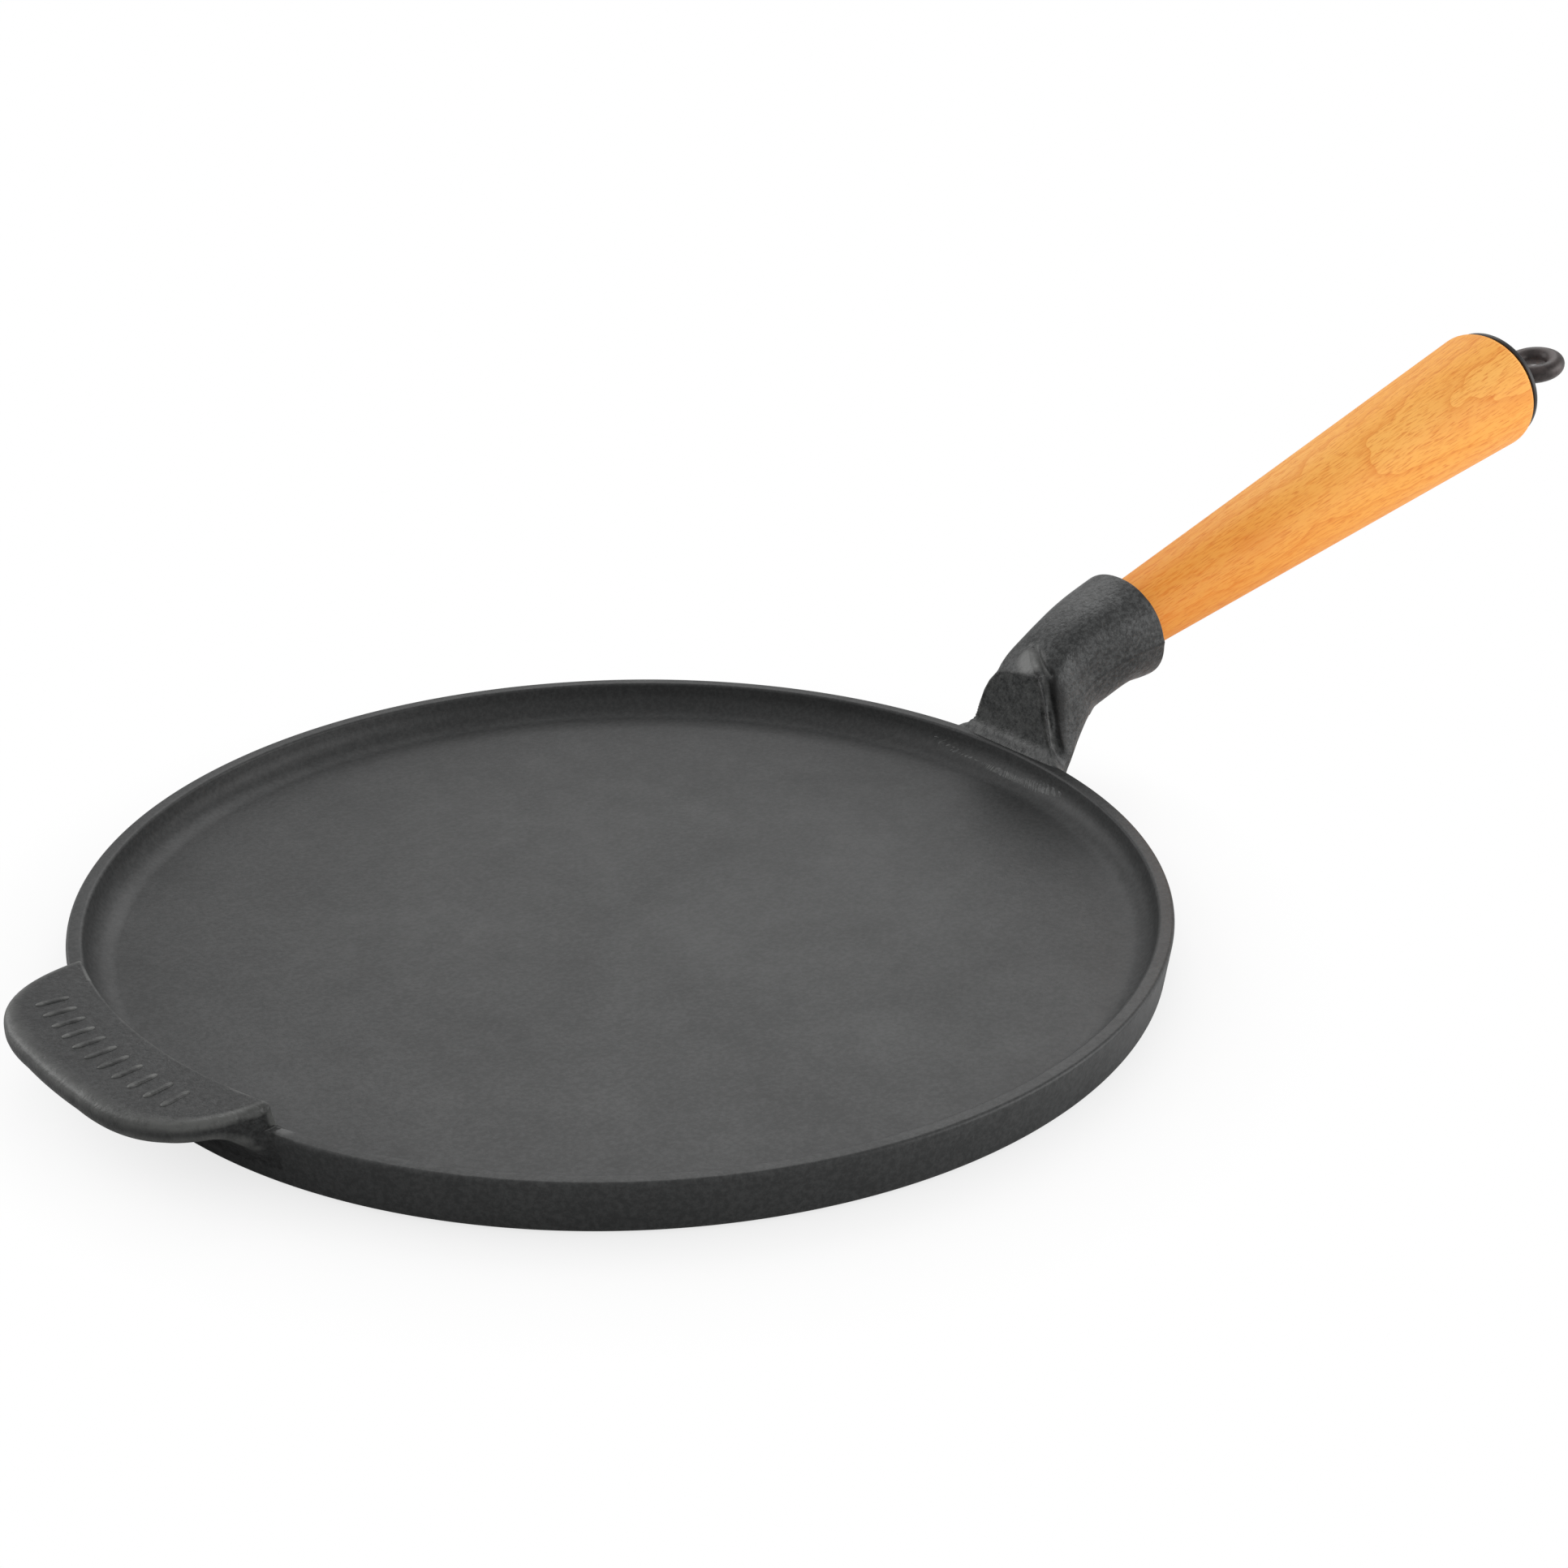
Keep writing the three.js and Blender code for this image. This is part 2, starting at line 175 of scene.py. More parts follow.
def ranged(tree, value, low, high, to_low, to_high):
    """Map Range: low..high becomes to_low..to_high, held at the ends."""
    node = add(tree, "ShaderNodeMapRange")
    tree.links.new(value, node.inputs["Value"])
    for key, number in zip(("From Min", "From Max", "To Min", "To Max"), (low, high, to_low, to_high)):
        node.inputs[key].default_value = number
    return node.outputs["Result"]


def worked(tree, operation, first, second=0.0):
    """Math: first and second are sockets or numbers."""
    node = add(tree, "ShaderNodeMath", operation=operation)
    for socket, value in zip(node.inputs, (first, second)):
        if isinstance(value, (int, float)):
            socket.default_value = value
        else:
            tree.links.new(value, socket)
    return node.outputs[0]


def weighted(tree, *pairs):
    """The sum of sockets, each times its weight, given as pairs (socket, weight)."""
    total = None
    for socket, weight in pairs:
        term = worked(tree, "MULTIPLY", socket, weight)
        total = term if total is None else worked(tree, "ADD", total, term)
    return total


def slant_of(tree, first, second):
    """The root of the sum of both squares."""
    squares = [worked(tree, "MULTIPLY", socket, socket) for socket in (first, second)]
    return worked(tree, "SQRT", worked(tree, "ADD", *squares))


def mixed(tree, share, first, second):
    """Mix of two colours by a share; colours are sockets or (r, g, b)."""
    node = add(tree, "ShaderNodeMix", data_type="RGBA")
    tree.links.new(share, node.inputs["Factor"])
    for socket, value in ((node.inputs[6], first), (node.inputs[7], second)):
        if isinstance(value, tuple):
            socket.default_value = (*value, 1)
        else:
            tree.links.new(value, socket)
    return node.outputs[2]


def cloud(tree, vector, scale, detail=3.0, roughness=0.5):
    """Noise of so many patches to the metre, 0 to 1."""
    node = add(tree, "ShaderNodeTexNoise", Scale=scale, Detail=detail, Roughness=roughness)
    tree.links.new(vector, node.inputs["Vector"])
    return node.outputs["Fac"]


def marked(tree, name):
    """The mark of this name, as a number at each point of the mesh."""
    return add(tree, "ShaderNodeAttribute", attribute_name=name).outputs["Fac"]


def bumped(tree, height, depth, strength=1.0):
    """Bumps of this height map, depth in mm, on the tree's own shader."""
    bump = add(tree, "ShaderNodeBump", Strength=strength, Distance=depth * MM)
    tree.links.new(height, bump.inputs["Height"])
    tree.links.new(bump.outputs["Normal"], tree.nodes["Principled BSDF"].inputs["Normal"])


def cast_skin_group():
    """Sand-cast iron: grain of sand 0.4 to 1 mm, slow hollows left by the mould, blotches of
    seasoning. Puts out a bump height, a blotch mask and a speck mask."""
    group = bpy.data.node_groups.new("sand cast skin", "ShaderNodeTree")
    for name in ("Grain", "Blotch", "Speck"):
        group.interface.new_socket(name=name, in_out="OUTPUT", socket_type="NodeSocketFloat")
    group.interface.new_socket(name="Place", in_out="INPUT", socket_type="NodeSocketVector")
    place = group.nodes.new("NodeGroupInput").outputs["Place"]
    out = group.nodes.new("NodeGroupOutput")
    sand = cloud(group, place, 1150, 3, 0.6)
    pits = ranged(group, cloud(group, place, 520, 3, 0.6), 0.34, 0.5, 0, 1)
    slow = cloud(group, place, 70, 2, 0.5)
    blotch = weighted(group, (cloud(group, place, 26, 4, 0.6), 0.6), (cloud(group, place, 140, 3, 0.6), 0.4))
    speck = ranged(group, cloud(group, place, 900, 4, 0.75), 0.40, 0.62, 0, 1)
    group.links.new(weighted(group, (sand, 0.7), (pits, 0.35), (slow, 1.2)), out.inputs["Grain"])
    group.links.new(blotch, out.inputs["Blotch"])
    group.links.new(speck, out.inputs["Speck"])
    return group


CAST_SKIN = cast_skin_group()
# Near-black of burnt oil, also used for painted shade.
OIL_AND_SHADE_BLACK = (0.006, 0.006, 0.006)


def cast_iron(name, grain_depth, dark, light, worn, crest_range, hollow_range, bare_and_highlight=None):
    """Seasoned cast iron: the sand's grain as bump and as fine specks of colour, soft blotches, edges
    rubbed to a paler grey where the crest mark is high, near-black in hollows where it is below 0, partly
    burnt oil and partly painted shade, and painted shade where the mesh's shade mark asks for it. A dust
    mark pales the tops of the grain. The last argument is a place (x, y, z, radius) in mm where the black
    has worn off to a bare spot, kept pale also as a painted highlight."""
    material = bpy.data.materials.new(name)
    tree = tree_of(material)
    shader = tree.nodes["Principled BSDF"]
    place = add(tree, "ShaderNodeTexCoord").outputs["Object"]
    skin = add(tree, "ShaderNodeGroup", node_tree=CAST_SKIN)
    tree.links.new(place, skin.inputs["Place"])
    shade = weighted(tree, (skin.outputs["Blotch"], 0.55), (skin.outputs["Speck"], 0.45))
    colour = mixed(tree, ranged(tree, shade, 0.3, 0.72, 0, 1), dark, light)
    crest = marked(tree, "crest")
    rubbed = worked(tree, "MULTIPLY", ranged(tree, crest, *crest_range, 0, 1),
                    ranged(tree, cloud(tree, place, 160, 4, 0.65), 0.34, 0.6, 0.35, 1))
    # A pale spot: metal worn bare, kept pale also as a painted highlight where a facet catches the light.
    if bare_and_highlight:
        reach = add(tree, "ShaderNodeVectorMath", operation="DISTANCE")
        tree.links.new(place, reach.inputs[0])
        reach.inputs[1].default_value = tuple(MM * number for number in bare_and_highlight[:3])
        ragged = worked(tree, "ADD", reach.outputs["Value"],
                        worked(tree, "MULTIPLY", cloud(tree, place, 420, 4, 0.7), 0.5 * bare_and_highlight[3] * MM))
        rubbed = worked(tree, "MAXIMUM", rubbed,
                        ranged(tree, ragged, 0.85 * bare_and_highlight[3] * MM, 1.35 * bare_and_highlight[3] * MM, 1, 0))
    dust = worked(tree, "MULTIPLY", marked(tree, "dust"),
                  ranged(tree, cloud(tree, place, 480, 4, 0.7), 0.36, 0.64, 0, 0.5))
    painted_shade = marked(tree, "painted_shade")
    # Near-black in hollows: partly burnt oil, partly painted shade.
    colour = mixed(tree, ranged(tree, crest, *hollow_range, 1, 0), colour, OIL_AND_SHADE_BLACK)
    colour = mixed(tree, worked(tree, "MAXIMUM", rubbed, dust), colour, worn)
    # Painted shade where the mesh's shade mark is.
    tree.links.new(mixed(tree, painted_shade, colour, OIL_AND_SHADE_BLACK), shader.inputs["Base Color"])
    rough = worked(tree, "ADD", ranged(tree, skin.outputs["Blotch"], 0.3, 0.7, 0.5, 0.4),
                   worked(tree, "MULTIPLY", painted_shade, 0.2))
    tree.links.new(worked(tree, "SUBTRACT", rough, worked(tree, "MULTIPLY", rubbed, 0.06)),
                   shader.inputs["Roughness"])
    shader.inputs["Specular IOR Level"].default_value = 0.36
    bumped(tree, skin.outputs["Grain"], grain_depth)
    return material


# Its pale spot on the rim top is ground bare metal, painted pale also as a highlight.
dish_iron = cast_iron("seasoned iron of the plate", 0.05, (0.0215, 0.0225, 0.0225), (0.0410, 0.0420, 0.0420),
                      (0.085, 0.087, 0.086), (0.12, 0.7), (-0.9, -0.3), (-104.7, -39.9, 11.2, 2.4))
DISH_SIDES = 512


def rim_section(start, steps):
    """The dish's section (radius, height), from this radius on the underside round the rim and back to
    the same radius on the plate."""
    return rounded_path([
        (start, 0, 0), (BASE_RADIUS, 0, HEEL_ROUND), (PAN_RADIUS, RIM_HEIGHT, CROWN_ROUND),
        (RIM_INNER, RIM_HEIGHT, CROWN_ROUND), (WELL_RADIUS, PLATE_THICKNESS, PLATE_FILLET),
        (start, PLATE_THICKNESS, 0)], steps)


dish = skin_piece("cast_dish", [turned(filled_in(rim_section(0, 8), 4.0), DISH_SIDES)], dish_iron)
dish_x, dish_y, _ = points_of(dish.data)
# Painted shade: the plate darker towards the far side and the handle, and darker still round the neck's
# foot, where the neck's shadow falls.
painted_neck_shadow = np.exp(-((dish_x - 100) ** 2 + dish_y ** 2) / 38 ** 2)
to_far_side = 0.64 * dish_x + 0.77 * dish_y
add_mark(dish.data, "painted_shade", np.clip(0.10 + 0.0013 * to_far_side + 0.13 * painted_neck_shadow, 0, 1))
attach(dish, "pan")
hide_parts("pan_casting")

# Neck and gable. The casting rises from the rim behind a flat gable with a bevelled point, bends over
# and ends in the round mouth of the wood's socket. Same iron, as cast, with a coarser sand grain.
MOUTH = np.array([151.0, 34.1])
HANDLE_ANGLE = np.radians(13.84)
ALONG = np.array([np.cos(HANDLE_ANGLE), np.sin(HANDLE_ANGLE)])
MOUTH_ROUND = 1.3
SOCKET_MOUTH_RADIUS = 9.1
SOCKET_END_RADIUS = 7.4
SOCKET_DEPTH = 23.7
SOCKET_LIP_RADIUS = 11.9
TAPPED_RADIUS = 3.2
TAPPED_DEPTH = 8.6
TAPPED_POINT_DEPTH = 10.2
NECK_STATIONS = np.array([       # reach, height, half height, half width, squareness under and over
    [116.6, 1.5, 3.2, 15.0, 3.2, 3.2], [117.3, 7.2, 3.4, 14.0, 3.0, 3.2],
    [120.2, 12.2, 6.0, 12.5, 2.8, 4.6], [123.0, 17.0, 8.8, 10.8, 2.6, 4.8],
    [125.5, 22.1, 11.4, 10.2, 2.4, 4.6], [130.0, 26.3, 12.4, 9.4, 2.3, 3.2],
    [136.4, 29.4, 12.6, 10.5, 2.2, 2.8], [143.3, 32.0, 12.4, 12.4, 2.1, 2.4],
    [151.1, 33.6, 13.6, 13.6, 2.0, 2.1], [158.8, 35.5, 13.7, 13.7, 2.0, 2.0]])
SEAM_HEIGHT = 0.24
SEAM_HALF_WIDTH = 0.8
SEAM_LEVEL = -0.5
SEAM_START = 122.0
MOUTH_SHARE = 8 / 9
NECK_FOOT = 2.0
FOOT_ROUND = 1.5
RIM_JOIN = 4.5
GABLE_JOIN = 1.0
TUBE_SETBACK = 0.7
GABLE_FACE = 115.5
GABLE_DEPTH = 1.3
HOLLOW_DEPTH = 1.5
HOLLOW_SETBACK = 1.6
HOLLOW_WIDTH = 1.5
BEVEL_LEAN = 0.735
BEVEL_FOOT = 29.5
GABLE_RIDGE = 34.8
SHOULDER_HEIGHT = 28.6
GABLE_EDGES = np.array([         # height, left edge, right edge
    [2.0, 19.5, -15.6], [9.5, 19.0, -15.2], [11.3, 16.4, -12.9], [14.0, 14.6, -11.0], [17.5, 13.4, -9.9],
    [21.9, 11.8, -8.7], [24.8, 10.2, -8.0], [28.3, 7.0, -7.0], [30.6, 4.6, -5.9], [32.6, 3.2, -2.2],
    [34.8, 1.9, 1.2]])


def curve_through(stations, shares):
    """Catmull-Rom curve through evenly numbered stations: each stretch is the cubic whose slopes at
    its ends are half the step between the stations on either side."""
    spans = len(stations) - 1
    rows = np.concatenate([[2 * stations[0] - stations[1]], stations, [2 * stations[-1] - stations[-2]]])
    place = np.clip(shares, 0, 1) * spans
    index = np.minimum(place.astype(int), spans - 1)
    t = (place - index)[:, None]
    a, b, c, d = rows[index], rows[index + 1], rows[index + 2], rows[index + 3]
    bend, twist = 2 * a - 5 * b + 4 * c - d, 3 * b - a - 3 * c + d
    return 0.5 * (2 * b + (c - a) * t + bend * t ** 2 + twist * t ** 3)


def joined(first, second, blend):
    """Union of two distances: the smaller, less h^2 / 4b where h = b - |difference| is positive."""
    overlap = np.maximum(blend - np.abs(first - second), 0)
    return np.minimum(first, second) - overlap ** 2 / (4 * blend)


def kept_in(first, second, blend):
    """Common part of two distances: the larger, plus h^2 / 4b near the edge where they meet."""
    overlap = np.maximum(blend - np.abs(first - second), 0)
    return np.maximum(first, second) + overlap ** 2 / (4 * blend)


def outline_distance(across, up, outline):
    """Signed distance to a closed outline: the least distance to its sides, less than 0 inside,
    where a level line crosses the outline an odd number of times."""
    least, sign = np.full(across.shape, 1e9), np.ones(across.shape)
    for (x0, y0), (x1, y1) in zip(outline, np.roll(outline, -1, 0)):
        side_x, side_y = x1 - x0, y1 - y0
        from_x, from_y = across - x0, up - y0
        share = np.clip((from_x * side_x + from_y * side_y) / (side_x ** 2 + side_y ** 2), 0, 1)
        least = np.minimum(least, (from_x - side_x * share) ** 2 + (from_y - side_y * share) ** 2)
        turn = side_x * from_y - side_y * from_x
        crossed = ((up >= y0) != (up >= y1)) & ((turn > 0) == (y1 > y0))
        sign = np.where(crossed, -sign, sign)
    return sign * np.sqrt(least)


RIM_SECTION = rim_section(PAN_RADIUS - 11.5, 5)
SKIN_SINK = 0.06


def rim_distance(points):
    """Distance to the rim's ring, sunk a little so that the dish's own skin covers it."""
    return outline_distance(np.hypot(points[:, 0], points[:, 1]), points[:, 2], RIM_SECTION) + SKIN_SINK


neck_line = curve_through(NECK_STATIONS, np.linspace(0, 1, 121))
neck_slope = np.gradient(neck_line[:, :2], axis=0)
neck_slope /= np.linalg.norm(neck_slope, axis=1)[:, None]
neck_step = np.gradient(neck_line, axis=0)
neck_bend = np.gradient(neck_slope, axis=0)


def tube_distance(points):
    """Distance to the bent tube: at the nearest place on its line, a superellipse
    |n/a|^k + |y/b|^k = 1 across it, with the mould's seam raised along both sides, ended by the
    mouth's plane with a rounded lip."""
    upright = points[:, [0, 2]]
    nearest = ((upright[:, None] - neck_line[None, :, :2]) ** 2).sum(2).argmin(1)
    along = (neck_slope[nearest] * (upright - neck_line[nearest, :2])).sum(1)
    part = np.clip(along / np.linalg.norm(neck_step[nearest, :2], axis=1), -0.6, 0.6)[:, None]
    station = neck_line[nearest] + neck_step[nearest] * part
    slope = neck_slope[nearest] + neck_bend[nearest] * part
    offset = upright - station[:, :2]
    normal = slope[:, 0] * offset[:, 1] - slope[:, 1] * offset[:, 0]
    beyond = np.where(nearest == 0, np.maximum(-along, 0), 0)
    power = station[:, 4] + (station[:, 5] - station[:, 4]) * np.clip(0.5 + normal / 6, 0, 1)
    ratio = np.abs(normal / station[:, 2]) ** power + np.abs(points[:, 1] / station[:, 3]) ** power
    body = (ratio ** (1 / power) - 1) * np.minimum(station[:, 2], station[:, 3])
    body = np.hypot(np.maximum(body, 0), beyond) + np.minimum(body, 0)
    grown = np.clip((points[:, 0] - SEAM_START) / 10, 0, 1)
    body = body - SEAM_HEIGHT * grown * np.exp(-((normal - SEAM_LEVEL) / SEAM_HALF_WIDTH) ** 2)
    return kept_in(body, (upright - MOUTH) @ ALONG, MOUTH_ROUND)


def gable_distance(points):
    """Distance to the gable: a slab between a left and a right edge that follow its height, with the
    bevel's slanting plane over the shoulder, and a back that thins to nothing at the foot."""
    x, y, z = points.T
    heights, left, right = GABLE_EDGES.T
    left_slope = np.interp(z + 0.5, heights, left) - np.interp(z - 0.5, heights, left)
    right_slope = np.interp(z + 0.5, heights, right) - np.interp(z - 0.5, heights, right)
    left_side = (y - np.interp(z, heights, left)) / np.sqrt(1 + left_slope ** 2)
    right_side = (np.interp(z, heights, right) - y) / np.sqrt(1 + right_slope ** 2)
    shoulder = SHOULDER_HEIGHT + 0.2 * (4.4 - y)
    bevel = (GABLE_FACE - x + BEVEL_LEAN * (z - shoulder)) / np.hypot(1, BEVEL_LEAN)
    front = kept_in(GABLE_FACE - x, bevel, 0.4)
    back = x - (GABLE_FACE + GABLE_DEPTH * np.clip((z - 6) / 13, 0, 1) + np.maximum(z - 29.0, 0) * 0.9)
    slab = kept_in(kept_in(kept_in(left_side, right_side, 0.3), front, 0.7), back, 0.8)
    return kept_in(slab, z - GABLE_RIDGE, 0.6)


def past_right_edge(y, z):
    """How far y is to the left of the gable's right edge at that height."""
    return y - np.interp(z, GABLE_EDGES[:, 0], GABLE_EDGES[:, 2])


def behind_front(x, z):
    """How far x is behind the gable's face, and behind its bevel above the bevel's foot."""
    return x - GABLE_FACE - BEVEL_LEAN * np.maximum(z - BEVEL_FOOT, 0)


def neck_distance(points):
    """Tube and gable joined with a tight hollow and ended above the foot, then joined to the rim with
    a wide hollow. Beside the gable's right edge the tube is hollowed by a bell curve in y and in x."""
    x, y, z = points.T
    beside = past_right_edge(y, z) / HOLLOW_WIDTH
    behind = (behind_front(x, z) - HOLLOW_SETBACK) / HOLLOW_WIDTH
    height = np.clip((z - 9) / 5, 0, 1) * np.clip((37 - z) / 5, 0, 1)
    tube = tube_distance(points) + HOLLOW_DEPTH * height * np.exp(-beside ** 2 - behind ** 2)
    tube = kept_in(tube, GABLE_FACE + TUBE_SETBACK - x, 0.6)
    standing = joined(tube, gable_distance(points), GABLE_JOIN)
    footed = joined(kept_in(standing, NECK_FOOT - z, FOOT_ROUND), rim_distance(points), RIM_JOIN)
    return np.maximum(footed, SKIN_SINK - z)


def skin_along_rays(distance, origins, ways, reach):
    """Where each ray leaves a form: it goes on by 0.85 of the distance left 36 times, then the gap
    to the first point outside is halved 17 times."""
    gone = np.zeros(len(origins))
    for _ in range(36):
        gone = np.minimum(gone + np.maximum(-distance(origins + ways * gone[:, None]), 0) * 0.85, reach)
    near, far = gone, gone + 0.9
    for _ in range(17):
        middle = (near + far) / 2
        inside = distance(origins + ways * middle[:, None]) < 0
        near, far = np.where(inside, middle, near), np.where(inside, far, middle)
    return origins + ways * ((near + far) / 2)[:, None]


def neck_grid(rows, columns):
    """Rays for the neck: a fan of rings from a pole deep in the rim to a ring square to the line, all
    from one point, and from there rings square to the line as it is walked up to the mouth."""
    fan_share, foot_share = 0.42, 3 / 9
    row = np.linspace(0, 1, rows)
    share = foot_share + (MOUTH_SHARE - foot_share) * np.clip((row - fan_share) / (1 - fan_share), 0, 1)
    station = curve_through(NECK_STATIONS, share)
    fine = np.linspace(foot_share - 0.01, 0.92, 400)
    slope = np.gradient(curve_through(NECK_STATIONS, fine)[:, :2], axis=0)
    slope = np.stack([np.interp(share, fine, slope[:, 0]), np.interp(share, fine, slope[:, 1])], 1)
    slope /= np.linalg.norm(slope, axis=1)[:, None]
    polar = np.where(row < fan_share, np.pi * (1 - 0.5 * row / fan_share), np.pi / 2)[:, None, None]
    angle = np.linspace(0, 2 * np.pi, columns, endpoint=False)[None, :, None]
    zero = 0 * station[:, 0]
    forth = np.stack([slope[:, 0], zero, slope[:, 1]], 1)[:, None]
    over = np.stack([-slope[:, 1], zero, slope[:, 0]], 1)[:, None]
    outward = np.cos(angle) * over + np.sin(angle) * np.array([0, 1, 0])
    ways = np.cos(polar) * forth + np.sin(polar) * outward
    origins = np.stack([station[:, 0], zero, station[:, 1]], 1)[:, None] + 0 * ways
    skin = skin_along_rays(neck_distance, origins.reshape(-1, 3), ways.reshape(-1, 3), 45.0)
    return skin.reshape(rows, columns, 3)


def from_handle(reach, side, lift):
    """Points by the handle's line: mouth + reach * along + side * sideways + lift * across."""
    return np.stack(np.broadcast_arrays(
        MOUTH[0] + reach * ALONG[0] - lift * ALONG[1], side,
        MOUTH[1] + reach * ALONG[1] + lift * ALONG[0]), 2)


def on_handle(profile, count):
    """A profile (radius, reach past the mouth) turned about the handle's line: side = r sin a and
    lift = r cos a."""
    angle = np.linspace(0, 2 * np.pi, count, endpoint=False)
    radius, reach = profile[:, :1], profile[:, 1:]
    return from_handle(reach, radius * np.sin(angle), radius * np.cos(angle))


NECK_ROWS = 250
NECK_SIDES = 240
neck_skin = neck_grid(NECK_ROWS, NECK_SIDES)
socket_wall = rounded_path([(SOCKET_LIP_RADIUS, 0, 0), (SOCKET_MOUTH_RADIUS, 0, 0.7),
                            (SOCKET_END_RADIUS, -SOCKET_DEPTH, 0)], 6)[1:]
tapped_hole = [[TAPPED_RADIUS, -SOCKET_DEPTH], [TAPPED_RADIUS, -SOCKET_DEPTH - TAPPED_DEPTH],
               [0.0, -SOCKET_DEPTH - TAPPED_POINT_DEPTH]]
socket = on_handle(np.concatenate([socket_wall, tapped_hole]), NECK_SIDES)
# Its pale spot on the gable's bevel is worn bare, painted pale also as the bevel's highlight.
neck_iron = cast_iron("sand cast iron of the neck", 0.17, (0.018, 0.019, 0.019), (0.066, 0.068, 0.068),
                      (0.15, 0.152, 0.148), (0.05, 0.4), (-0.4, -0.1), (117.5, -1.0, 32.6, 4.0))
neck = skin_piece("cast_neck", [np.concatenate([neck_skin, socket])], neck_iron)
# Painted shade: a dark band in the hollow beside the gable's right edge, where shade falls; these numbers
# set its place and spread.
PAINTED_SHADE_SETBACK = 1.75
PAINTED_SHADE_HALF_WIDTH = 1.45
PAINTED_SHADE_DEPTH = 3.2
PAINTED_SHADE_HALF_DEPTH = 2.6
skin_x, skin_y, skin_z = points_of(neck.data)
beside_edge = (past_right_edge(skin_y, skin_z) + PAINTED_SHADE_SETBACK) / PAINTED_SHADE_HALF_WIDTH
from_face = (behind_front(skin_x, skin_z) - PAINTED_SHADE_DEPTH) / PAINTED_SHADE_HALF_DEPTH
low_high = np.clip((skin_z - 12) / 5, 0, 1) * np.clip((30.5 - skin_z) / 3, 0, 1)
add_mark(neck.data, "painted_shade", 0.9 * low_high * np.exp(-beside_edge ** 4 - from_face ** 4))
add_mark(neck.data, "dust", np.clip((GABLE_FACE + 0.5 - skin_x) / 0.3, 0, 1))
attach(neck, "pan")
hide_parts("pan_casting")

# Helper grip. A flat lug of the same casting, raised above the rim on the side away from the handle,
# with a web that runs down the rim under it. Plain raised ribs stand where a maker would put a name.
GRIP_TOP = RIM_HEIGHT + 5.3
GRIP_THICKNESS = 4.4
GRIP_REACH = 16.9
GRIP_HALF_WIDTH = 35.8
GRIP_FLARE = 2.0
GRIP_CORNER = 26.2
GRIP_EDGE_ROUND = 1.755
GRIP_TURN = np.radians(1.66)
WALL_LEAN = INNER_LEAN / (RIM_HEIGHT - PLATE_THICKNESS)
WEB_FOOT = 6.3
WEB_ROUND = 6.0


def grip_outline():
    """Half of the lug's edge from above, then its mirror: a flared root, a side, a rounded corner as
    a quadratic curve, and an arc round the pan's centre between the corners."""
    outer = PAN_RADIUS + GRIP_REACH
    flared = GRIP_HALF_WIDTH + GRIP_FLARE
    root_x = -np.sqrt(RIM_INNER ** 2 - flared ** 2)
    corner_angle = np.arcsin((GRIP_HALF_WIDTH - GRIP_CORNER) / outer)
    corner = -outer * np.array([np.cos(corner_angle), -np.sin(corner_angle)])
    side_x = root_x - GRIP_FLARE
    t = np.linspace(0, 1, 40)[:, None]

    def bent(start, pull, end):
        """A quadratic curve: (1 - t)^2 start + 2t (1 - t) pull + t^2 end."""
        return (1 - t) ** 2 * np.array(start) + 2 * t * (1 - t) * np.array(pull) + t ** 2 * np.array(end)

    half = np.concatenate([
        [[root_x + 14, flared + 1]],
        bent((root_x, flared), ((root_x + side_x) / 2, GRIP_HALF_WIDTH), (side_x, GRIP_HALF_WIDTH)),
        bent((side_x, GRIP_HALF_WIDTH), (corner[0], GRIP_HALF_WIDTH), corner)[1:]])
    arc = np.linspace(np.pi - corner_angle, np.pi, 25)[1:-1]
    half = np.concatenate([half, outer * np.stack([np.cos(arc), np.sin(arc)], 1)])
    return np.concatenate([half, [[-outer, 0]], half[::-1] * [1, -1]])


grip_edge = grip_outline()
turn_row = np.array([[np.cos(GRIP_TURN), -np.sin(GRIP_TURN)], [np.sin(GRIP_TURN), np.cos(GRIP_TURN)]])
GRIP_UNDERSIDE = GRIP_TOP - GRIP_THICKNESS
GRIP_SECTION = rounded_path([
    (RIM_INNER + WALL_LEAN * (GRIP_TOP - RIM_HEIGHT), GRIP_TOP, 0.7), (PAN_RADIUS + 40, GRIP_TOP, 0),
    (PAN_RADIUS + 40, GRIP_UNDERSIDE, 0), (PAN_RADIUS + WEB_ROUND, GRIP_UNDERSIDE, WEB_ROUND),
    (PAN_RADIUS - 0.5, WEB_FOOT, 0), (RIM_INNER + 0.4, WEB_FOOT, 0), (RIM_INNER + 0.1, RIM_HEIGHT, 0)], 6)


def grip_distance(points):
    """The section of lug and web, carried round the pan and kept inside the lug's outline with a
    rounded edge, then joined to the rim with a narrow hollow."""
    plan = points[:, :2] @ turn_row
    x, y, z = plan[:, 0], plan[:, 1], points[:, 2]
    edge = outline_distance(x, y, grip_edge)
    lug = kept_in(edge, outline_distance(np.hypot(x, y), z, GRIP_SECTION), GRIP_EDGE_ROUND)
    return joined(lug, rim_distance(points), np.interp(z, [8.6, 11.4], [3.0, 0.7]))


